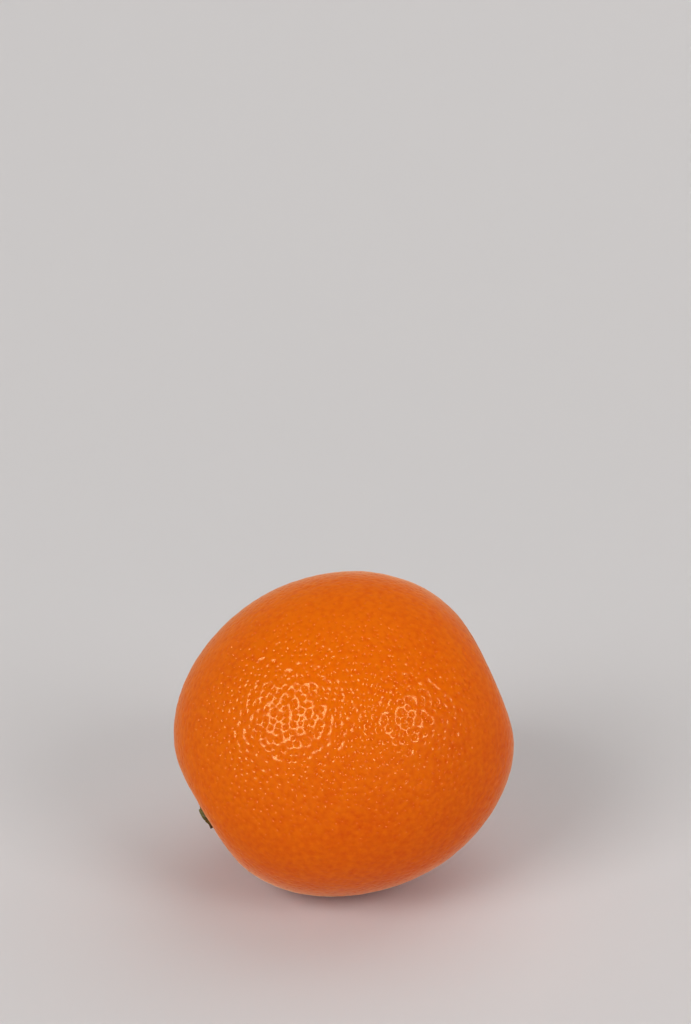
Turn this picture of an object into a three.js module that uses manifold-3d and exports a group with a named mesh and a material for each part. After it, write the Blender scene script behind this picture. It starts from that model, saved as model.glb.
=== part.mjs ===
// A fresh orange, lying on its side on the small flat spot that it rests on.
// Millimetres, +Z up. The origin is the middle of the resting spot, on the surface below.
//
// The fruit is shaped in a frame of its own: its core runs along +Z from the stem end to the
// blossom end, and +X is the side that lies uppermost. The group then lays it on its side.

import * as THREE from 'three';
import { mergeVertices } from 'three/addons/utils/BufferGeometryUtils.js';
import Module from 'manifold-3d';

const wasm = await Module();
wasm.setup();

// ---------------------------------------------------------------- driving dimensions

const MEAN_RADIUS = 38.25;

// How the ball departs from a true sphere, each in mm.
const LENGTHENED = 0.78; // longer from end to end than it is wide
const TAPER = 0.19; // a little fuller towards the stem end
const SHOULDERS = 0.5; // fuller half way between the ends and the waist
const SHOULDER_EDGE = 0.19; // gathers those shoulders towards the ends
const LEAN = 0.54; // one diagonal fuller than the other
const TWO_LOBES = 0.35; // two, three and five low lobes round the core
const THREE_LOBES = 0.15;
const FIVE_LOBES = 0.1;

// Places where the rind is pressed nearly flat. Tilt is the angle of the flat's middle from the
// blossom end, towards the upper side, in degrees. Distance is from the fruit's middle, and
// rounding is how softly the flat runs out into the ball, both in mm.
const FLATS = {
  blossomEnd: { tilt: -7, distance: 36.7, rounding: 0.9 },
  upperCheek: { tilt: 44, distance: 38.2, rounding: 0.2 },
  stemEnd: { tilt: 181, distance: 36.85, rounding: 0.64 },
};

// How the fruit lies: tipped over from upright, then rolled, in degrees.
const TIPPED = 120.5;
const ROLLED = 152;

// The underside is another soft flat, facing a little towards the stem end from straight down.
// The spot that the fruit rests on is cut level below it.
const UNDERSIDE = { towardsStem: 8, distance: 36.8, rounding: 0.8 };
const RESTING_HEIGHT = 36.05; // from the resting spot up to the fruit's middle

// The stem and the blossom scar stand a little off the core's ends, in degrees: tilt as for the
// flats, and turn towards the side that +Y faces. Each sits in a shallow dimple, in mm.
const STEM_END = { tilt: 179.3, turn: -2 };
const STEM_DIMPLE = { depth: 0.45, reach: 6 };
const BLOSSOM_END = { tilt: 1.5, turn: 1 };
const BLOSSOM_DIMPLE = { depth: 0.35, reach: 3.5 };

// The calyx, a thin collar, lies on the rind at the stem end and runs out into five sepals.
// Each sepal's turn is in degrees from the lower side, and its reach in mm from the stem.
const GAP = 0.3; // between pieces that touch
const COLLAR_RADIUS = 2.5;
const CALYX_THICKNESS = 0.85;
const SEPAL_SPREAD = 24; // degrees
const SEPALS = [
  { turn: 5, reach: 4.1 },
  { turn: 75, reach: 3.2 },
  { turn: 145, reach: 2.6 },
  { turn: 218, reach: 3.1 },
  { turn: 290, reach: 3.7 },
];

// The cut stub of the stem stands through the collar.
const STUB_RADIUS = 1.5;
const STUB_HEIGHT = 1.4;
const STUB_EDGE = 0.35; // rounding of its cut end

const FRUIT_DETAIL = 16; // each edge of the icosahedron is cut into this many, plus one
const OUTLINE_STEPS = 60;
const STUB_SIDES = 28;

// ---------------------------------------------------------------- shape of the fruit

const radians = THREE.MathUtils.degToRad;

// A direction from the fruit's middle: tilted from the blossom end towards the upper side, and
// turned from there towards +Y.
function tilted(tilt, turn = 0) {
  const flat = Math.cos(radians(turn));
  const [up, along] = [Math.sin(radians(tilt)), Math.cos(radians(tilt))];
  return new THREE.Vector3(flat * up, Math.sin(radians(turn)), flat * along);
}

const lie = new THREE.Matrix4().makeRotationFromEuler(
  new THREE.Euler(radians(ROLLED), radians(TIPPED), 0, 'XYZ'),
);
const down = new THREE.Vector3(0, 0, -1).applyMatrix4(lie.clone().invert());
const stemEnd = tilted(STEM_END.tilt, STEM_END.turn);
const blossomEnd = tilted(BLOSSOM_END.tilt, BLOSSOM_END.turn);

const towardsStem = new THREE.Vector3().crossVectors(down, stemEnd).normalize();
const underside = down.clone().applyAxisAngle(towardsStem, radians(UNDERSIDE.towardsStem));

const softFlats = Object.values(FLATS).map((flat) => ({ facing: tilted(flat.tilt), ...flat }));
softFlats.push({ facing: underside, ...UNDERSIDE });

// The lesser of two lengths, with the corner between them rounded off.
function softMinimum(a, b, rounding) {
  return -rounding * Math.log(Math.exp(-a / rounding) + Math.exp(-b / rounding));
}

function dimple(direction, middle, { depth, reach }) {
  const away = direction.angleTo(middle) * MEAN_RADIUS;
  return depth * Math.exp(-((away / reach) ** 2));
}

// The distance from the fruit's middle to the rind along a unit direction.
function rindRadius(direction) {
  const fromBlossom = Math.acos(THREE.MathUtils.clamp(direction.z, -1, 1));
  const round = Math.atan2(direction.y, direction.x);
  const waist = Math.sin(fromBlossom);
  let radius =
    MEAN_RADIUS +
    LENGTHENED * Math.cos(2 * fromBlossom) -
    TAPER * Math.cos(3 * fromBlossom) -
    SHOULDERS * Math.cos(4 * fromBlossom) -
    SHOULDER_EDGE * Math.cos(6 * fromBlossom) -
    LEAN * Math.sin(2 * fromBlossom) * Math.cos(round) -
    TWO_LOBES * waist ** 2 * Math.sin(2 * round) +
    THREE_LOBES * waist ** 3 * Math.sin(3 * round) +
    FIVE_LOBES * waist ** 5 * Math.sin(5 * round);
  for (const { facing, distance, rounding } of softFlats) {
    const across = direction.dot(facing);
    if (across > 0.5) {
      radius = softMinimum(radius, distance / across, rounding);
    }
  }
  radius -= dimple(direction, stemEnd, STEM_DIMPLE);
  radius -= dimple(direction, blossomEnd, BLOSSOM_DIMPLE);
  return radius;
}

// ---------------------------------------------------------------- solids

// A closed three.js geometry as a solid that can be joined and cut.
function solidOf(geometry) {
  const bare = geometry.clone();
  bare.deleteAttribute('normal');
  bare.deleteAttribute('uv');
  const merged = mergeVertices(bare, 1e-4);
  const mesh = new wasm.Mesh({
    numProp: 3,
    vertProperties: new Float32Array(merged.attributes.position.array),
    triVerts: new Uint32Array(merged.index.array),
  });
  return new wasm.Manifold(mesh);
}

function geometryOf(solid) {
  const mesh = solid.getMesh();
  const geometry = new THREE.BufferGeometry();
  geometry.setAttribute('position', new THREE.BufferAttribute(mesh.vertProperties, 3));
  geometry.setIndex(new THREE.BufferAttribute(mesh.triVerts, 1));
  geometry.computeVertexNormals();
  return geometry;
}

// The fruit's body, lying as it rests, with its rind moved out by a clearance.
function fruitSolid(clearance = 0) {
  const ball = new THREE.IcosahedronGeometry(1, FRUIT_DETAIL);
  const points = ball.attributes.position;
  const direction = new THREE.Vector3();
  for (let i = 0; i < points.count; i += 1) {
    direction.fromBufferAttribute(points, i).normalize();
    const radius = rindRadius(direction) + clearance;
    points.setXYZ(i, ...direction.multiplyScalar(radius).toArray());
  }
  ball.applyMatrix4(lie);
  return solidOf(ball);
}

function levelCut(solid) {
  const size = 4 * MEAN_RADIUS;
  const below = new THREE.BoxGeometry(size, size, size);
  below.translate(0, 0, -RESTING_HEIGHT - size / 2);
  return solid.subtract(solidOf(below));
}

// The middle of the level spot that the cut leaves on the underside.
function restingSpot(geometry) {
  const points = geometry.attributes.position;
  const spot = new THREE.Box3();
  const point = new THREE.Vector3();
  for (let i = 0; i < points.count; i += 1) {
    point.fromBufferAttribute(points, i);
    if (point.z < -RESTING_HEIGHT + 1e-3) {
      spot.expandByPoint(point);
    }
  }
  return spot.getCenter(new THREE.Vector3());
}

// A frame at the stem end: +Z points out of the fruit, and +X along the rind to its lower side.
function stemFrame() {
  const lower = new THREE.Vector3(0, 1, 0).cross(stemEnd).normalize();
  const across = new THREE.Vector3().crossVectors(stemEnd, lower);
  return lie.clone().multiply(new THREE.Matrix4().makeBasis(lower, across, stemEnd));
}

// The collar's reach from the stem at a turn round it, in degrees.
function calyxReach(round) {
  let reach = COLLAR_RADIUS;
  for (const sepal of SEPALS) {
    const away = THREE.MathUtils.euclideanModulo(round - sepal.turn + 180, 360) - 180;
    reach += (sepal.reach - COLLAR_RADIUS) * Math.exp(-((away / SEPAL_SPREAD) ** 2));
  }
  return reach;
}

// The collar: its outline is pushed through the rind, and trimmed between two skins that follow
// the rind, so that it lies on the fruit all over.
function calyxSolid() {
  const corners = [];
  for (let i = 0; i < OUTLINE_STEPS; i += 1) {
    const round = (360 * i) / OUTLINE_STEPS;
    const reach = calyxReach(round);
    corners.push(new THREE.Vector2(reach, 0).rotateAround(new THREE.Vector2(), radians(round)));
  }
  const outline = new THREE.Shape(corners);
  const hole = new THREE.Path();
  hole.absarc(0, 0, STUB_RADIUS + GAP, 0, 2 * Math.PI, true);
  outline.holes.push(hole);
  const prism = new THREE.ExtrudeGeometry(outline, {
    depth: MEAN_RADIUS,
    bevelEnabled: false,
    curveSegments: STUB_SIDES,
  });
  prism.translate(0, 0, MEAN_RADIUS / 2);
  prism.applyMatrix4(stemFrame());
  const outer = fruitSolid(GAP + CALYX_THICKNESS);
  const inner = fruitSolid(GAP);
  return solidOf(prism).intersect(outer).subtract(inner);
}

// The stub: a short round stem with a rounded cut end, turned about its own axis.
function stubGeometry() {
  const end = new THREE.Path();
  end.moveTo(0, 0);
  end.lineTo(STUB_RADIUS, 0);
  end.lineTo(STUB_RADIUS, STUB_HEIGHT - STUB_EDGE);
  end.absarc(STUB_RADIUS - STUB_EDGE, STUB_HEIGHT - STUB_EDGE, STUB_EDGE, 0, Math.PI / 2, false);
  end.lineTo(0, STUB_HEIGHT);
  const profile = end.getPoints(4);
  const stub = new THREE.LatheGeometry(profile, STUB_SIDES);
  stub.rotateX(Math.PI / 2);
  stub.translate(0, 0, rindRadius(stemEnd) + GAP);
  return stub;
}

// ---------------------------------------------------------------- the orange

const rind = new THREE.MeshStandardMaterial({ color: 0xe8700c, roughness: 0.42, metalness: 0 });
const sepal = new THREE.MeshStandardMaterial({ color: 0x5f5a22, roughness: 0.7, metalness: 0 });
const cutStem = new THREE.MeshStandardMaterial({ color: 0x6e6a30, roughness: 0.75, metalness: 0 });

const fruit = new THREE.Mesh(geometryOf(levelCut(fruitSolid())), rind);
fruit.name = 'fruit';

const calyx = new THREE.Mesh(geometryOf(calyxSolid()), sepal);
calyx.name = 'calyx';

const stub = new THREE.Mesh(stubGeometry(), cutStem);
stub.name = 'stem_stub';
stub.applyMatrix4(stemFrame());

const spot = restingSpot(fruit.geometry);
const orange = new THREE.Group();
orange.add(fruit, calyx, stub);
orange.position.set(-spot.x, -spot.y, RESTING_HEIGHT);

export default orange;
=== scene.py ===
"""The looks of a fresh orange: its pitted rind, its calyx and stem stub, and a plain studio.

The file is laid out as an add-on and run as a script. Lengths are in metres, and the row frame has
+Z up, +X towards the blossom end and +Y away from the camera.
"""

import math

import bpy
import numpy as np
from bpy.props import FloatProperty, FloatVectorProperty, IntProperty, PointerProperty
from bpy.types import Operator, Panel, PropertyGroup
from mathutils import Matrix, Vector, noise
from mathutils.kdtree import KDTree


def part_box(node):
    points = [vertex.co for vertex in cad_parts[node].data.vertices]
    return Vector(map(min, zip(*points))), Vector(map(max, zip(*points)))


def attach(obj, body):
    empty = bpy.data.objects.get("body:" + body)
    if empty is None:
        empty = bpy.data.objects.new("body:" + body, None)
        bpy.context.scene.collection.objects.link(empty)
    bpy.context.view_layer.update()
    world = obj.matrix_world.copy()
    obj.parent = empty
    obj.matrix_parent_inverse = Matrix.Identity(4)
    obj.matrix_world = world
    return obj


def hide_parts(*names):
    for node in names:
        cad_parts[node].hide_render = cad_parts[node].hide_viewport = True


bl_info = {
    "name": "Orange",
    "version": (1, 0, 0),
    "blender": (4, 5, 0),
    "location": "3D View > Sidebar > Orange",
    "description": "Models a fresh orange with a pitted rind, its calyx and its stem stub",
    "category": "Add Mesh",
}

MM = 0.001

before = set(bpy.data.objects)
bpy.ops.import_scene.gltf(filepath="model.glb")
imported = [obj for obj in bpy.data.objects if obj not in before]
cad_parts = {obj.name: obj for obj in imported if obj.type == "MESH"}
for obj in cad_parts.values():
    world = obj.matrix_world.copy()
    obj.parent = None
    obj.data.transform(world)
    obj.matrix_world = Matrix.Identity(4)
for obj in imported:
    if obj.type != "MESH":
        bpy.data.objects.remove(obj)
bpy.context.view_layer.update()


# ------------------------------------------------------------------ places taken from the frame


def node_points(name):
    """The corners of a CAD node, as an array of points."""
    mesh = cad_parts[name].data
    points = np.empty(len(mesh.vertices) * 3)
    mesh.vertices.foreach_get("co", points)
    return points.reshape(-1, 3)


def middle_of(points):
    """The middle of the box round some points."""
    return Vector((points.min(axis=0) + points.max(axis=0)) / 2)


FRUIT_LOW, FRUIT_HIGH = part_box("fruit")
FRUIT_MIDDLE = (FRUIT_LOW + FRUIT_HIGH) / 2
MEAN_RADIUS = sum(FRUIT_HIGH - FRUIT_LOW) / 6
STUB_MIDDLE = middle_of(node_points("stem_stub"))
STEM_OUT = (STUB_MIDDLE - FRUIT_MIDDLE).normalized()
BLOSSOM_OUT = -STEM_OUT


def on_fruit(way):
    """The point of the CAD fruit that lies that way from its middle."""
    from_middle = node_points("fruit") - np.array(FRUIT_MIDDLE)
    reach = np.linalg.norm(from_middle, axis=1)
    nearest = np.argmax(from_middle @ np.array(way) / reach)
    return FRUIT_MIDDLE + way * float(reach[nearest])


BLOSSOM_POINT = on_fruit(BLOSSOM_OUT)


# ------------------------------------------------------------------ settings


def length(name, default, text):
    """A size in metres, given in millimetres."""
    return FloatProperty(name=name, default=default * MM, description=text, unit="LENGTH", precision=5)


def share(name, default, text):
    """A number from nothing to one."""
    return FloatProperty(
        name=name, default=default, min=0.0, max=1.0, description=text, subtype="FACTOR"
    )


def watts(name, default):
    """How strong a light is."""
    return FloatProperty(name=name, default=default, description="Power of the light", unit="POWER")


def colour(name, default, text):
    """A colour in linear light."""
    return FloatVectorProperty(
        name=name, default=default, min=0.0, max=1.0, size=3, description=text, subtype="COLOR"
    )


class RindSettings(PropertyGroup):
    """Sizes and colours of the rind."""

    pore_spacing: length("Pore spacing", 1.7, "From the middle of one pore to the next")
    pore_nudge: share("Pore nudge", 0.31, "How far a pore strays from an even layout, in spacings")
    pore_depth: length("Pore depth", 0.32, "How deep a usual pore is")
    pore_tip: length("Pore tip", 0.09, "How round the bottom of a pore is")
    furrow_depth: length("Furrow depth", 0.3, "How deep the furrows round the stem end are")
    scar_depth: length("Scar depth", 0.5, "How deep the dimple at the blossom end is")
    scar_radius: length("Scar radius", 1.7, "How wide the dry scar at the blossom end is")
    seed: IntProperty(name="Seed", default=7, description="Picks another layout of pores")
    pale: colour("Pale", (0.8, 0.142, 0.0), "The rind between the pores")
    # The deep colour also carries the shade painted into the pits and towards the floor.
    deep: colour("Deep", (0.68, 0.072, 0.0), "The rind over the oil glands")
    scar: colour("Scar", (0.32, 0.11, 0.02), "The dry scar at the blossom end")


class CalyxSettings(PropertyGroup):
    """Sizes and colours of the calyx and the stem stub."""

    swell: length("Swell", 0.3, "How much thicker the lower sepals are than the collar")
    wrinkle: length("Wrinkle", 0.07, "How deep the wrinkles of the dry skin are")
    green: colour("Green", (0.145, 0.125, 0.014), "The skin near the stem")
    brown: colour("Brown", (0.085, 0.038, 0.01), "The dry tips of the sepals")
    pith: colour("Pith", (0.24, 0.2, 0.07), "The cut end of the stem")


class StageSettings(PropertyGroup):
    """The floor's colour, and how strong the lights are."""

    floor: colour("Floor", (0.69, 0.67, 0.665), "The pale floor")
    left_power: watts("Left light", 50.0)
    right_power: watts("Right light", 20.0)
    top_power: watts("Top light", 16.0)
    left_gleam: watts("Left gleam", 155.0)
    right_gleam: watts("Right gleam", 37.0)
    room: FloatProperty(name="Room light", default=0.205, description="Strength of the light all round")


class OrangeSettings(PropertyGroup):
    """All that a user would change."""

    rind: PointerProperty(type=RindSettings, name="Rind", description="The rind")
    calyx: PointerProperty(type=CalyxSettings, name="Calyx", description="The calyx and the stem stub")
    stage: PointerProperty(type=StageSettings, name="Stage", description="The studio")


# ------------------------------------------------------------------ modelling by hand


def deselect_all():
    if bpy.context.object and bpy.context.object.mode != "OBJECT":
        bpy.ops.object.mode_set(mode="OBJECT")
    bpy.ops.object.select_all(action="DESELECT")


def select_only(piece):
    deselect_all()
    piece.select_set(True)
    bpy.context.view_layer.objects.active = piece


def named(name):
    """The object that was just added, under a name of its own."""
    piece = bpy.context.object
    piece.name = name
    piece.data.name = name
    return piece


def add_modifier(piece, kind, **settings):
    """Adds a modifier, sets it, and applies it."""
    select_only(piece)
    modifier = piece.modifiers.new(kind.title(), kind)
    for name, value in settings.items():
        setattr(modifier, name, value)
    bpy.ops.object.modifier_apply(modifier=modifier.name)


def settle(piece):
    """Puts the piece's place into its mesh, so that the object sits at the origin."""
    select_only(piece)
    bpy.ops.object.transform_apply(location=True, rotation=True, scale=True)


def points_of(piece):
    points = np.empty(len(piece.data.vertices) * 3)
    piece.data.vertices.foreach_get("co", points)
    return points.reshape(-1, 3)


def normals_of(piece):
    normals = np.empty(len(piece.data.vertices) * 3)
    piece.data.vertices.foreach_get("normal", normals)
    return normals.reshape(-1, 3)


def move_points(piece, points):
    piece.data.vertices.foreach_set("co", np.asarray(points, dtype=np.float32).ravel())
    piece.data.update()


def unit(vectors):
    return vectors / np.linalg.norm(vectors, axis=1, keepdims=True)


def ramp(values, low, high):
    """Climbs evenly from nothing at low to one at high."""
    return np.clip((values - low) / (high - low), 0, 1)


def hump(values, width):
    """One at nothing, and falls away softly to both sides over that width."""
    return np.exp(-((values / width) ** 2))


def round_stem(points):
    """Where points lie round the stem's axis.

    Gives their height along it, distance from it, turn round it from its lower side, and offset
    from it.
    """
    out = np.array(STEM_OUT)
    low = np.array(Vector((0, 0, -1)) + STEM_OUT * STEM_OUT.z)
    low /= np.linalg.norm(low)
    from_stub = points - np.array(STUB_MIDDLE)
    height = from_stub @ out
    flat = from_stub - np.outer(height, out)
    return height, np.linalg.norm(flat, axis=1), np.arctan2(flat @ np.cross(out, low), flat @ low), flat


# ------------------------------------------------------------------ shader maths


class Wire:
    """An output socket in a material, which Python's own signs add to and multiply."""

    def __init__(self, recipe, socket):
        self.recipe = recipe
        self.socket = socket

    def __add__(self, other):
        return self.recipe.maths("ADD", self, other)

    def __sub__(self, other):
        return self.recipe.maths("SUBTRACT", self, other)

    def __rsub__(self, other):
        return self.recipe.maths("SUBTRACT", other, self)

    def __mul__(self, other):
        return self.recipe.maths("MULTIPLY", self, other)

    def __truediv__(self, other):
        return self.recipe.maths("DIVIDE", self, other)

    __radd__ = __add__
    __rmul__ = __mul__

    def clamped(self):
        """Held between nothing and one."""
        return self.recipe.node("ShaderNodeClamp", {}, self)

    def swing(self, span):
        """Noise, which goes from nothing to one, made to swing that much about nothing."""
        return (self - 0.5) * span


class Recipe:
    """A new material and the wiring of its nodes."""

    def __init__(self, name):
        self.material = bpy.data.materials.new(name)
        self.material.use_nodes = True
        self.tree = self.material.node_tree
        self.skin = next(n for n in self.tree.nodes if n.type == "BSDF_PRINCIPLED")
        self.output = next(n for n in self.tree.nodes if n.type == "OUTPUT_MATERIAL")

    def node(self, kind, settings, *values, output=0, **named_values):
        """Any node: its settings first, then what goes into its sockets, then the output wanted."""
        node = self.tree.nodes.new(kind)
        for name, value in settings.items():
            setattr(node, name, value)
        for i, value in enumerate(values):
            self.feed(node.inputs[i], value)
        for name, value in named_values.items():
            self.feed(node.inputs[name.replace("_", " ")], value)
        return Wire(self, node.outputs[output])

    def feed(self, socket, value):
        if isinstance(value, Wire):
            self.tree.links.new(value.socket, socket)
        elif hasattr(value, "__len__") and socket.type == "RGBA":
            socket.default_value = (*value[:3], 1.0)
        else:
            socket.default_value = value

    def place(self):
        """Where the shaded point is, in the row frame."""
        return self.node("ShaderNodeTexCoord", {}, output="Object")

    def maths(self, operation, *values):
        return self.node("ShaderNodeMath", {"operation": operation}, *values)

    def vector(self, operation, *values, output=0):
        return self.node("ShaderNodeVectorMath", {"operation": operation}, *values, output=output)

    def attribute(self, name, output="Vector"):
        """A value that the piece's own mesh carries."""
        return self.node("ShaderNodeAttribute", {"attribute_name": name}, output=output)

    def mix(self, mask, first, second):
        """The first colour where the mask is nothing, the second where it is one."""
        mixer = self.tree.nodes.new("ShaderNodeMix")
        mixer.data_type = "RGBA"
        self.feed(mixer.inputs["Factor"], mask)
        colours = [s for s in mixer.inputs if s.type == "RGBA"]
        self.feed(colours[0], first)
        self.feed(colours[1], second)
        return Wire(self, next(s for s in mixer.outputs if s.type == "RGBA"))

    def noise(self, place, size, detail=2.0):
        """Soft noise whose patches are about that size in metres, from nothing to one."""
        return self.node("ShaderNodeTexNoise", {}, Vector=place, Scale=1.0 / size, Detail=detail)

    def finish(self, **values):
        """Feeds the surface's sockets, named with underscores for spaces."""
        for name, value in values.items():
            self.feed(self.skin.inputs[name.replace("_", " ")], value)
        return self.material

    def glaze(self, amount, **values):
        """Lays a gloss over the surface that is no stronger at a slant than face-on."""
        gloss = self.node("ShaderNodeBsdfGlossy", {}, **values)
        skin = Wire(self, self.skin.outputs["BSDF"])
        glazed = self.node("ShaderNodeMixShader", {}, amount, skin, gloss)
        self.feed(self.output.inputs["Surface"], glazed)


# ------------------------------------------------------------------ rind


BALL_CUTS = 2  # in each edge of the ico sphere that the rind starts from
SMOOTHING_STEPS = 50
SMOOTHED_AWAY = 0.16 * MM  # how far the smoothing draws the ball in

PORES_NEAR = 4  # how many pores shape any one point of the rind
WEAKEST_PORE = 0.6  # in usual pores
STRENGTH_SPREAD = 0.8  # from the weakest pore to the strongest
FUNNEL = 0.3  # a pore's wall climbs as its distance to this power
MESH_TIP = 0.3 * MM  # how round a pore's bottom is in the mesh, whose triangles are wider than its tip
RIM_SHARPNESS = 11.0  # how sharply one pore gives way to the next, per millimetre of height
SKIN_SHARE = 0.9  # the share of the rind that lies below the level taken as its skin
REST_FADE = 1.2 * MM  # height above the floor at which the pores are as deep as elsewhere
SCAR_FADE = (0.6, 1.2)  # where the pores round the scar begin and are whole, in scar radii

FURROWS = 9
FURROW_SWAY = ((2, 1.3), (3, 0.7))  # waves round the stem that spread the furrows unevenly
FURROW_START = (1.5 * MM, 4 * MM)  # where they sink in, from the stem outwards
FURROW_END = (15 * MM, 5 * MM)  # where they run out, back towards the stem
DIMPLE_WIDTH = 1.5 * MM
DIMPLE_RIM = 0.35  # how high its rim stands, in dimple depths
DIMPLE_RIM_AWAY = 2.6 * MM
DIMPLE_RIM_WIDTH = 0.8 * MM

WAVE_SIZE = 6 * MM
WAVE_HEIGHT = 0.13 * MM
GRAIN_SIZE = 0.4 * MM
GRAIN_HEIGHT = 0.002 * MM
FRAY_SIZE = 1.1 * MM  # of the scar's rough skin and torn edge
FRAY_HEIGHT = 0.25 * MM
MOTTLE_SIZE = 1.3 * MM
PATCH_SIZE = 22 * MM
GLAND_AND_SHADE_DEPTH = 0.2 * MM  # a pore this deep shows its gland's colour, with the shade painted into its pit, in full

SCAR_EDGE = 0.5 * MM
SCAR_FRAYED = 5.0  # how ragged its edge is, in edge widths
SCAR_COVER = 0.85  # how much of the rind's colour the scar hides
HEART_FRAYED = 3.0  # how ragged its dark middle is, in scar radii
HEART_SHADE = 0.3  # how bright that middle is beside the scar's edge

GLOSS = 0.02  # the wax's share of the light
GLOSS_COLOUR = (1.0, 0.75, 0.36)
WAX_ROUGHNESS = 0.2
GRAIN_ROUGHNESS = 0.1
SCAR_ROUGHNESS = 0.45  # how much rougher the scar is than the wax

# How far each pattern takes the rind from pale to deep. The direction below paints shade: it deepens
# the rind down towards the floor and on the side away from the camera and lamps, and a little towards
# the blossom end.
MOTTLE_TINGE = 1.4
# The pores' pattern is the glands' own colour and also paints shade into the pits.
GLAND_AND_PIT_SHADE_TINGE = 0.1
PATCH_TINGE = 0.5
GRAIN_TINGE = 0.2
# Painted shade: the rind deepens along this direction, down towards the floor and away from the camera
# and lamps.
PAINTED_SHADE_WAY = (0.18, 0.32, -0.42)
USUAL_TINGE = 0.55


def pore_sites(settings):
    """Each pore's direction from the fruit's middle, and how strong it is beside a usual one.

    They lie on a golden spiral and each is nudged at random.
    """
    area_share = math.sqrt(3) / 2 * (settings.pore_spacing / MEAN_RADIUS) ** 2
    count = round(4 * math.pi / area_share)
    step = np.arange(count) + 0.5
    height = 1 - 2 * step / count
    flat = np.sqrt(1 - height**2)
    turn = math.pi * (1 + math.sqrt(5)) * step
    sites = np.stack([flat * np.cos(turn), flat * np.sin(turn), height], axis=1)
    chance = np.random.default_rng(settings.seed)
    reach = settings.pore_nudge * settings.pore_spacing / MEAN_RADIUS
    sites = unit(sites + chance.normal(size=sites.shape) * reach / math.sqrt(2))
    turned = Vector((0, 0, 1)).rotation_difference(BLOSSOM_OUT).to_matrix()
    strength = WEAKEST_PORE + STRENGTH_SPREAD * chance.random(count)
    return sites @ np.array(turned).T, strength


def nearest_pores(sites, directions):
    """For each direction, the numbers of the pores nearest to it."""
    tree = KDTree(len(sites))
    for number, site in enumerate(sites):
        tree.insert(site, number)
    tree.balance()
    return np.array([[hit[1] for hit in tree.find_n(way, PORES_NEAR)] for way in directions])


def funnel(settings):
    """How far up its curve a usual pore's rim is, and how many metres one step up that curve is."""
    rim, tip = ((size / MM) ** FUNNEL for size in (settings.pore_spacing / 2, settings.pore_tip))
    return rim, settings.pore_depth / (rim - tip)


def rind_ball():
    """A fine, even ball of triangles, drawn onto the CAD fruit and smoothed over its facets."""
    deselect_all()
    bpy.ops.mesh.primitive_ico_sphere_add(
        subdivisions=6, radius=MEAN_RADIUS, location=FRUIT_MIDDLE, calc_uvs=False
    )
    rind = named("rind")
    bpy.ops.object.mode_set(mode="EDIT")
    bpy.ops.mesh.select_all(action="SELECT")
    bpy.ops.mesh.subdivide(number_cuts=BALL_CUTS)
    bpy.ops.object.mode_set(mode="OBJECT")
    settle(rind)
    add_modifier(
        rind,
        "SHRINKWRAP",
        target=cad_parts["fruit"],
        wrap_method="PROJECT",
        use_negative_direction=True,
        use_positive_direction=True,
    )
    add_modifier(rind, "SMOOTH", factor=0.5, iterations=SMOOTHING_STEPS)
    return rind


def shape_ends(rind, settings):
    """Draws soft furrows round the stem end, and a dimple with a raised rim at the blossom end."""
    points = points_of(rind)
    ways = unit(points - np.array(FRUIT_MIDDLE))
    stem_side = ways @ np.array(STEM_OUT) > 0
    blossom_side = ways @ np.array(BLOSSOM_OUT) > 0
    _, away, turn, _ = round_stem(points)
    sway = sum(strength * np.sin(waves * turn) for waves, strength in FURROW_SWAY)
    grooves = (1 - np.cos(FURROWS * turn + sway)) / 2
    grooves = grooves * ramp(away, *FURROW_START) * ramp(away, *FURROW_END)
    dimple = hump(away, DIMPLE_WIDTH) - DIMPLE_RIM * hump(away - DIMPLE_RIM_AWAY, DIMPLE_RIM_WIDTH)
    sink = stem_side * grooves * settings.furrow_depth + blossom_side * dimple * settings.scar_depth
    move_points(rind, points - ways * sink[:, None])


def press_pores(rind, settings):
    """Presses the pores into the rind, and notes on each face the pores that shape it.

    The normals stay as they were, because the material shades the pores, and more finely.
    """
    sites, strength = pore_sites(settings)
    points = points_of(rind)
    normals = normals_of(rind)
    ways = unit(points - np.array(FRUIT_MIDDLE))
    near = nearest_pores(sites, ways)
    away = np.linalg.norm(ways[:, None] - sites[near], axis=2) * MEAN_RADIUS
    rim, step = funnel(settings)
    climb = ((np.hypot(away, MESH_TIP) / MM) ** FUNNEL - rim) * strength[near] * step
    level = -np.log(np.exp(climb * (-RIM_SHARPNESS / MM)).sum(axis=1)) * (MM / RIM_SHARPNESS)
    from_scar = np.linalg.norm(points - np.array(BLOSSOM_POINT), axis=1) / settings.scar_radius
    pitted = ramp(points[:, 2], 0, REST_FADE) * ramp(from_scar, *SCAR_FADE)
    sink = np.minimum(level - np.quantile(level, SKIN_SHARE), 0) * pitted
    points += ways * (sink + SMOOTHED_AWAY)[:, None]
    points[:, 2] = np.maximum(points[:, 2], 0)
    move_points(rind, points)
    rind.data.shade_smooth()
    rind.data.normals_split_custom_set_from_vertices(normals)

    corners = np.empty(len(rind.data.polygons) * 3, dtype=np.int32)
    rind.data.polygons.foreach_get("vertices", corners)
    near = nearest_pores(sites, unit(ways[corners.reshape(-1, 3)].sum(axis=1)))
    for rank in range(PORES_NEAR):
        pore = rind.data.attributes.new(f"pore_{rank}", "FLOAT_VECTOR", "FACE")
        long = sites[near[:, rank]] * strength[near[:, rank], None]
        pore.data.foreach_set("vector", long.astype(np.float32).ravel())


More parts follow.
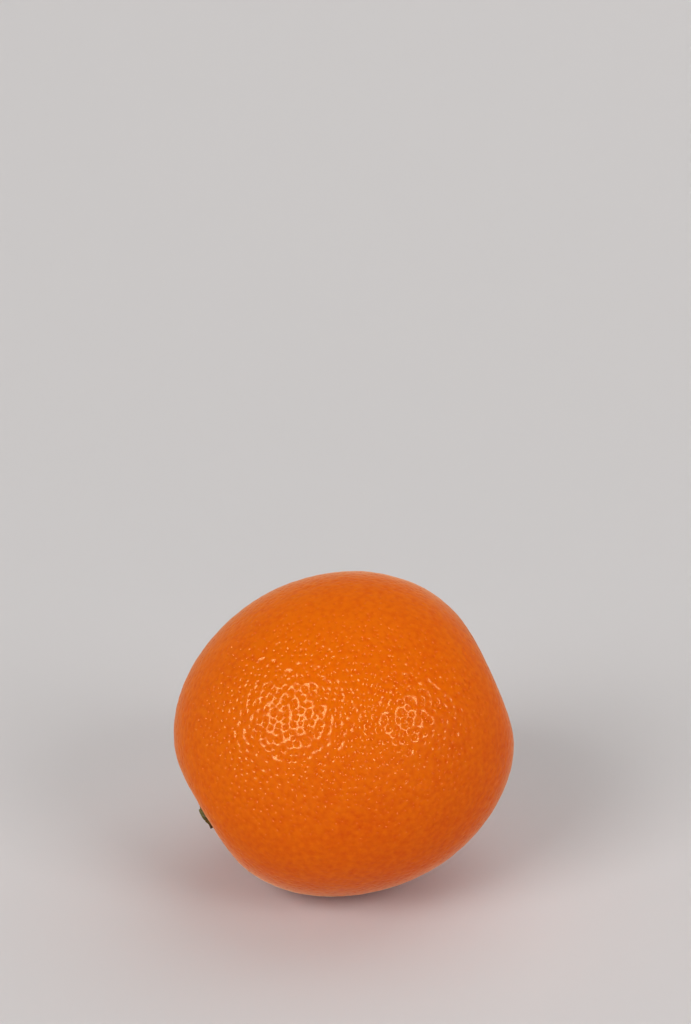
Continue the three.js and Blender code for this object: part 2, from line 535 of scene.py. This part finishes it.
def pore_level(r, way, settings):
    """How high the rind is at a point, by the mesh's rule but with the pores' own, sharper tips."""
    rim, step = funnel(settings)
    total = 0.0
    for rank in range(PORES_NEAR):
        pore = r.attribute(f"pore_{rank}")
        strength = r.vector("LENGTH", pore, output="Value")
        chord = r.vector("DISTANCE", way, r.vector("NORMALIZE", pore), output="Value")
        away = chord * (MEAN_RADIUS / MM)
        climb = r.maths("POWER", away * away + (settings.pore_tip / MM) ** 2, FUNNEL / 2) - rim
        total = r.maths("EXPONENT", climb * strength * (-RIM_SHARPNESS * step / MM)) + total
    return r.maths("LOGARITHM", total, math.e) * (-MM / RIM_SHARPNESS)


def rind_material(settings):
    """Mottled orange skin under a thin wax, whose gloss breaks up at the pores, with shade painted into
    the pits and towards the floor.
    """
    r = Recipe("waxed rind")
    place = r.place()
    way = r.vector("NORMALIZE", r.vector("SUBTRACT", place, FRUIT_MIDDLE))
    level = pore_level(r, way, settings)
    waves = r.noise(place, WAVE_SIZE, detail=0.0)
    grain = r.noise(place, GRAIN_SIZE, detail=3.0)
    mottle = r.noise(place, MOTTLE_SIZE, detail=1.0)
    patches = r.noise(place, PATCH_SIZE)
    frayed = r.noise(place, FRAY_SIZE, detail=3.0)

    apart = r.vector("DISTANCE", place, BLOSSOM_POINT, output="Value")
    scar = ((settings.scar_radius - apart) / SCAR_EDGE + frayed.swing(SCAR_FRAYED)).clamped()
    outer = (apart / settings.scar_radius + frayed.swing(HEART_FRAYED)).clamped()
    heart = tuple(part * HEART_SHADE for part in settings.scar)

    # The pores' colour: the oil glands' own deeper colour, and shade painted into the pits.
    gland_and_pit_shade = (level / -GLAND_AND_SHADE_DEPTH).clamped()
    # Painted shade: the rind deepens towards the floor and on the side away from the camera and lamps,
    # and a little towards the blossom end.
    painted_shade = r.vector("DOT_PRODUCT", way, PAINTED_SHADE_WAY, output="Value")
    tinge_and_shade = mottle.swing(MOTTLE_TINGE) + gland_and_pit_shade * GLAND_AND_PIT_SHADE_TINGE + patches.swing(PATCH_TINGE)
    tinge_and_shade = (tinge_and_shade + grain.swing(GRAIN_TINGE) + painted_shade + USUAL_TINGE).clamped()
    skin = r.mix(tinge_and_shade, settings.pale, settings.deep)

    height = level * (1.0 - scar) + waves * WAVE_HEIGHT + grain * GRAIN_HEIGHT
    height = height + frayed * scar * FRAY_HEIGHT
    relief = r.node("ShaderNodeBump", {}, Strength=1.0, Distance=1.5, Height=height)
    soft_relief = r.node("ShaderNodeBump", {}, Strength=0.25, Distance=1.0, Height=height)
    roughness = WAX_ROUGHNESS + grain.swing(GRAIN_ROUGHNESS) + scar * SCAR_ROUGHNESS
    r.glaze(GLOSS, Color=GLOSS_COLOUR, Roughness=roughness, Normal=relief)
    return r.finish(
        Base_Color=r.mix(scar * SCAR_COVER, skin, r.mix(outer, heart, settings.scar)),
        Roughness=roughness,
        Normal=soft_relief,
        Subsurface_Weight=0.2,
        Subsurface_Radius=(1.0, 0.35, 0.08),
        Subsurface_Scale=1.2 * MM,
        Specular_IOR_Level=0.0,
        Sheen_Weight=0.68,
        Sheen_Roughness=0.3,
        Sheen_Tint=(1.0, 0.8, 0.55),
    )


class ORANGE_OT_rind(Operator):
    """Models the rind over the CAD fruit, with its pores"""

    bl_idname = "orange.rind"
    bl_label = "Rind"

    def execute(self, context):
        settings = context.scene.orange.rind
        rind = rind_ball()
        shape_ends(rind, settings)
        press_pores(rind, settings)
        rind.data.materials.append(rind_material(settings))
        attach(rind, "root")
        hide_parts("fruit")
        return {"FINISHED"}


# ------------------------------------------------------------------ calyx and stem stub


SUNK = 0.5 * MM  # how far the pieces go down into the rind

CALYX_VOXEL = 0.1 * MM
CALYX_SMOOTHING = 5
CALYX_WRINKLES = ((1.1 * MM, 1.5), (0.4 * MM, 0.6))  # size, and depth in usual wrinkles
SEPAL_TURNS = (5, 75, 145, 218, 290)  # degrees round the stem, from its lower side
VEIN_TURN = 1.5  # how far round from its sepal a vein is worked out, just under a quarter turn
VEIN_WIDTH = 0.45 * MM
VEIN_HEIGHT = 0.16 * MM
COLLAR_RADIUS = 1.9 * MM
TIP_LENGTH = 1.6 * MM  # from the collar's edge to where a sepal is all tip
UPPER_REACH = 0.15  # how much of their reach the upper sepals keep
LOWER_LOST = 0.12  # how much of their reach the lower sepals lose
UPPER_LOWER = 0.6 * MM  # how much lower the upper sepals lie
HOLE_EDGE = 2.0 * MM
HOLE_CLOSED = 0.4 * MM  # how far the collar's hole is drawn in, onto the stub
HOLE_FADE = 0.25 * MM

STUB_VOXEL = 0.08 * MM
STUB_SMOOTHING = 3
STUB_WRINKLES = ((0.9 * MM, 1.2), (0.3 * MM, 0.5))
STUB_LONGER = 0.15 * MM
STUB_RIDGES = 11
RIDGE_HEIGHT = 0.03  # in distances from the stem's axis, as the flare is
FLARE = 0.22
FLARE_REACH = 0.7 * MM  # how far down the stub widens
CUT_FACING = (0.3, 0.8)  # how much the skin faces along the stem where the cut begins and is whole
PITH_REACH = 1.25  # how far out the pith's colour fades, in stub radii
HOLLOW_DEPTH = 0.2 * MM  # of the cut end
HOLLOW_WIDTH = 0.35  # in stub radii
RING_HEIGHT = 0.04 * MM  # of the rings in the cut end
RING_WAVES = 12

BLOTCH_SIZE = 1.4 * MM
BLOTCH_HEIGHT = 0.06 * MM
FIBRE_SIZE = 0.25 * MM
FIBRE_HEIGHT = 0.05 * MM
FIBRE_SHADE = 0.45  # how bright the skin is between its fibres
FIBRE_CONTRAST = 1.6
FIBRE_COVER = 0.5  # how far the fibres hide the darker skin between them
COLOUR_RAGGED = 1.6  # how far blotches shift the line between the two colours
DRY_ROUGHNESS = 0.45
FIBRE_ROUGHNESS = 0.4  # from the smoothest fibre to the roughest
DRY_SHINE = 0.22


def merged_copy(node, name, voxel, smoothing):
    """A copy of a CAD node, its corners joined, remade as a fine even mesh with soft edges."""
    deselect_all()
    piece = bpy.data.objects.new(name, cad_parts[node].data.copy())
    bpy.context.scene.collection.objects.link(piece)
    piece.data.name = name
    piece.data.materials.clear()
    select_only(piece)
    bpy.ops.object.mode_set(mode="EDIT")
    bpy.ops.mesh.select_all(action="SELECT")
    bpy.ops.mesh.remove_doubles(threshold=0.001 * MM)
    bpy.ops.object.mode_set(mode="OBJECT")
    add_modifier(piece, "REMESH", mode="VOXEL", voxel_size=voxel)
    add_modifier(piece, "SMOOTH", factor=0.5, iterations=smoothing)
    return piece


def wrinkle(piece, wrinkles, usual_depth):
    """Moves the skin in and out by soft noise, once for each size of wrinkle."""
    for size, depth in wrinkles:
        points = points_of(piece)
        swell = np.array([noise.noise(Vector(point) / size) for point in points])
        move_points(piece, points + normals_of(piece) * (swell * usual_depth * depth)[:, None])


def note_on_points(piece, name, values):
    """Keeps a value from nothing to one on each corner of the mesh, for the material to read."""
    attribute = piece.data.attributes.new(name, "FLOAT", "POINT")
    attribute.data.foreach_set("value", np.clip(values, 0, 1).astype(np.float32))


def turn_between(turn, start):
    """How far a turn is from another, between minus and plus half a round."""
    return (turn - start + math.pi) % (2 * math.pi) - math.pi


def model_calyx(settings):
    """A thin collar with five dry sepals that lie on the rind."""
    calyx = merged_copy("calyx", "sepals", CALYX_VOXEL, CALYX_SMOOTHING)
    points = points_of(calyx)
    _, away, turn, flat = round_stem(points)
    upper = np.clip(-np.cos(turn), 0, 1)
    beyond = np.maximum(away - COLLAR_RADIUS, 0)
    lost = np.where(upper > 0, upper * (1 - UPPER_REACH), LOWER_LOST)
    inward = beyond * lost + HOLE_CLOSED * np.clip((HOLE_EDGE - away) / HOLE_FADE, 0, 1)
    points -= flat * (inward / away)[:, None]
    facing = normals_of(calyx) @ np.array(STEM_OUT)
    raised = (1 - upper) * settings.swell - upper * UPPER_LOWER
    for sepal in SEPAL_TURNS:
        aside = away * np.sin(np.clip(turn_between(turn, math.radians(sepal)), -VEIN_TURN, VEIN_TURN))
        raised = raised + VEIN_HEIGHT * hump(aside, VEIN_WIDTH) * np.clip(beyond / MM, 0, 1)
    lift = np.clip(facing, 0, 1) * raised - np.clip(-facing * 2, 0, 1) * SUNK
    points += np.outer(lift, np.array(STEM_OUT))
    move_points(calyx, points)
    wrinkle(calyx, CALYX_WRINKLES, settings.wrinkle)
    calyx.data.shade_smooth()
    note_on_points(calyx, "tip", beyond / TIP_LENGTH)
    return calyx


def model_stub(settings):
    """The short stub of the stem, with a rough cut end."""
    stub = merged_copy("stem_stub", "stub", STUB_VOXEL, STUB_SMOOTHING)
    points = points_of(stub)
    height, away, turn, flat = round_stem(points)
    out = np.array(STEM_OUT)
    facing = normals_of(stub) @ out
    cut = ramp(facing, *CUT_FACING) * (height > 0)
    rim = away / away.max()
    ridges = RIDGE_HEIGHT * np.cos(STUB_RIDGES * turn + np.sin(2 * turn)) * (1 - cut)
    flare = FLARE * np.clip(-height / FLARE_REACH, 0, 1)
    points += flat * (ridges + flare)[:, None]
    hollow = HOLLOW_DEPTH * hump(rim, HOLLOW_WIDTH) + RING_HEIGHT * np.sin(rim * RING_WAVES)
    sink = cut * (hollow - STUB_LONGER) + np.clip(-facing, 0, 1) * SUNK
    points -= np.outer(sink, out)
    move_points(stub, points)
    wrinkle(stub, STUB_WRINKLES, settings.wrinkle)
    stub.data.shade_smooth()
    note_on_points(stub, "cut", cut * (PITH_REACH - rim))
    return stub


def dry_material(name, attribute, near, far):
    """Dull skin that goes from one colour to another where the attribute says so."""
    r = Recipe(name)
    place = r.place()
    blotch = r.noise(place, BLOTCH_SIZE, detail=3.0)
    fibre = r.noise(place, FIBRE_SIZE, detail=3.0)
    mask = (r.attribute(attribute, output="Fac") + blotch.swing(COLOUR_RAGGED)).clamped()
    bare = (fibre * FIBRE_CONTRAST - FIBRE_COVER).clamped()
    between_fibres = tuple(part * FIBRE_SHADE for part in near)
    height = fibre * FIBRE_HEIGHT + blotch * BLOTCH_HEIGHT
    return r.finish(
        Base_Color=r.mix(bare, r.mix(mask, near, far), between_fibres),
        Roughness=DRY_ROUGHNESS + fibre.swing(FIBRE_ROUGHNESS),
        Normal=r.node("ShaderNodeBump", {}, Strength=1.0, Distance=1.0, Height=height),
        Specular_IOR_Level=DRY_SHINE,
    )


class ORANGE_OT_calyx(Operator):
    """Models the calyx and the stem stub in its middle"""

    bl_idname = "orange.calyx"
    bl_label = "Calyx and stem stub"

    def execute(self, context):
        settings = context.scene.orange.calyx
        calyx = model_calyx(settings)
        calyx.data.materials.append(dry_material("dry calyx", "tip", settings.green, settings.brown))
        stub = model_stub(settings)
        stub.data.materials.append(dry_material("cut stem", "cut", settings.green, settings.pith))
        for piece, node, slot in ((calyx, "calyx", "calyx"), (stub, "stem_stub", "stem")):
            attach(piece, "root")
            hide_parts(node)
        return {"FINISHED"}


# ------------------------------------------------------------------ stage


LENS = 85.0  # both this and the sensor's long side are in millimetres
SENSOR = 36.0
CLIP_START = 0.01
SIGHT_RISE = math.radians(28.0)  # how steeply the camera looks down at the fruit
SIGHT_LENGTH = 0.5655  # from the camera to the point below
AIM_HEIGHT = 0.03647
AIM_SIDE = 0.00042
AIM_DROP = math.radians(5.19)  # how far below the middle of the view that point lies

FLOOR_SIDES = 96
FLOOR_RADIUS = 0.2  # its flat part
SWEEP_STEPS = 24
SWEEP_STEP = 0.072
SWEEP_RISE = math.radians(50)  # how steep its rim is
ROOM_COLOUR = (1.0, 0.985, 0.97, 1.0)


def floor_piece(settings):
    """A floor that curves up like a wide dish, so that it fills the view evenly from any side."""
    deselect_all()
    bpy.ops.mesh.primitive_circle_add(vertices=FLOOR_SIDES, radius=FLOOR_RADIUS, fill_type="NOTHING")
    floor = named("floor")
    bpy.ops.object.mode_set(mode="EDIT")
    bpy.ops.mesh.select_all(action="SELECT")
    radius = FLOOR_RADIUS
    for k in range(SWEEP_STEPS):
        slope = SWEEP_RISE * (k + 0.5) / SWEEP_STEPS
        wider = radius + SWEEP_STEP * math.cos(slope)
        bpy.ops.mesh.extrude_region_move(
            TRANSFORM_OT_translate={"value": (0, 0, SWEEP_STEP * math.sin(slope))}
        )
        bpy.ops.transform.resize(value=(wider / radius, wider / radius, 1), center_override=(0, 0, 0))
        radius = wider
    bpy.ops.mesh.select_all(action="DESELECT")
    bpy.ops.object.mode_set(mode="OBJECT")
    for corner in floor.data.vertices:
        corner.select = corner.co.z < MM
    bpy.ops.object.mode_set(mode="EDIT")
    bpy.ops.mesh.edge_face_add()
    bpy.ops.mesh.select_all(action="SELECT")
    bpy.ops.mesh.normals_make_consistent(inside=True)
    bpy.ops.object.mode_set(mode="OBJECT")
    floor.data.shade_smooth()
    paper = Recipe("floor").finish(Base_Color=settings.floor, Roughness=0.85, Specular_IOR_Level=0.0)
    floor.data.materials.append(paper)


def softbox(name, azimuth, rise, distance, size, power, gives):
    """A soft light that faces the fruit, and gives it either shading or highlights.

    Azimuth is in degrees from the camera's side, positive to the right.
    """
    turn, lift = math.radians(azimuth), math.radians(rise)
    out = Vector((math.sin(turn) * math.cos(lift), -math.cos(turn) * math.cos(lift), math.sin(lift)))
    light = bpy.data.lights.new(name, "AREA")
    light.shape = "RECTANGLE"
    light.size, light.size_y = size
    light.energy = power
    lamp = bpy.data.objects.new(name, light)
    bpy.context.scene.collection.objects.link(lamp)
    lamp.location = FRUIT_MIDDLE + out * distance
    lamp.rotation_euler = out.to_track_quat("Z", "Y").to_euler()
    lamp.visible_camera = False
    lamp.visible_diffuse = gives == "shading"
    lamp.visible_glossy = gives == "highlights"


def room_light(settings):
    world = bpy.data.worlds.new("room")
    world.use_nodes = True
    background = next(n for n in world.node_tree.nodes if n.type == "BACKGROUND")
    background.inputs["Color"].default_value = ROOM_COLOUR
    background.inputs["Strength"].default_value = settings.room
    bpy.context.scene.world = world


def camera():
    data = bpy.data.cameras.new("camera")
    data.lens = LENS
    data.sensor_width = SENSOR
    data.clip_start = CLIP_START
    seen = bpy.data.objects.new("camera", data)
    bpy.context.scene.collection.objects.link(seen)
    back = Vector((0, -math.cos(SIGHT_RISE), math.sin(SIGHT_RISE)))
    seen.location = Vector((AIM_SIDE, 0, AIM_HEIGHT)) + back * SIGHT_LENGTH
    seen.rotation_euler = (math.pi / 2 - SIGHT_RISE + AIM_DROP, 0, 0)
    bpy.context.scene.camera = seen


class ORANGE_OT_stage(Operator):
    """Adds the floor, the lights and the camera"""

    bl_idname = "orange.stage"
    bl_label = "Stage"

    def execute(self, context):
        settings = context.scene.orange.stage
        floor_piece(settings)
        for name, azimuth, rise, distance, size, power, gives in (
            ("left softbox", -43, 36, 3.2, (1.55, 1.55), settings.left_power, "shading"),
            ("right softbox", 47, 33, 2.6, (1.15, 1.15), settings.right_power, "shading"),
            ("top softbox", 140, 60, 2.2, (2.4, 2.4), settings.top_power, "shading"),
            ("left gleam", -45, 35, 3.2, (1.8, 1.6), settings.left_gleam, "highlights"),
            ("right gleam", 44.5, 30, 2.6, (0.75, 0.75), settings.right_gleam, "highlights"),
        ):
            softbox(name, azimuth, rise, distance, size, power, gives)
        room_light(settings)
        camera()
        context.scene.view_settings.view_transform = "Standard"
        return {"FINISHED"}


# ------------------------------------------------------------------ panel and registration


class ORANGE_PT_panel(Panel):
    """Lists the orange's pieces"""

    bl_label = "Orange"
    bl_idname = "ORANGE_PT_panel"
    bl_space_type = "VIEW_3D"
    bl_region_type = "UI"
    bl_category = "Orange"

    def draw(self, context):
        for operator in OPERATORS:
            self.layout.operator(operator.bl_idname)


OPERATORS = (ORANGE_OT_rind, ORANGE_OT_calyx, ORANGE_OT_stage)
CLASSES = (RindSettings, CalyxSettings, StageSettings, OrangeSettings, *OPERATORS, ORANGE_PT_panel)


def register():
    for each in CLASSES:
        bpy.utils.register_class(each)
    bpy.types.Scene.orange = PointerProperty(type=OrangeSettings)


def unregister():
    del bpy.types.Scene.orange
    for each in reversed(CLASSES):
        bpy.utils.unregister_class(each)


def main():
    register()
    bpy.ops.orange.rind()
    bpy.ops.orange.calyx()
    bpy.ops.orange.stage()


if __name__ == "__main__":
    main()
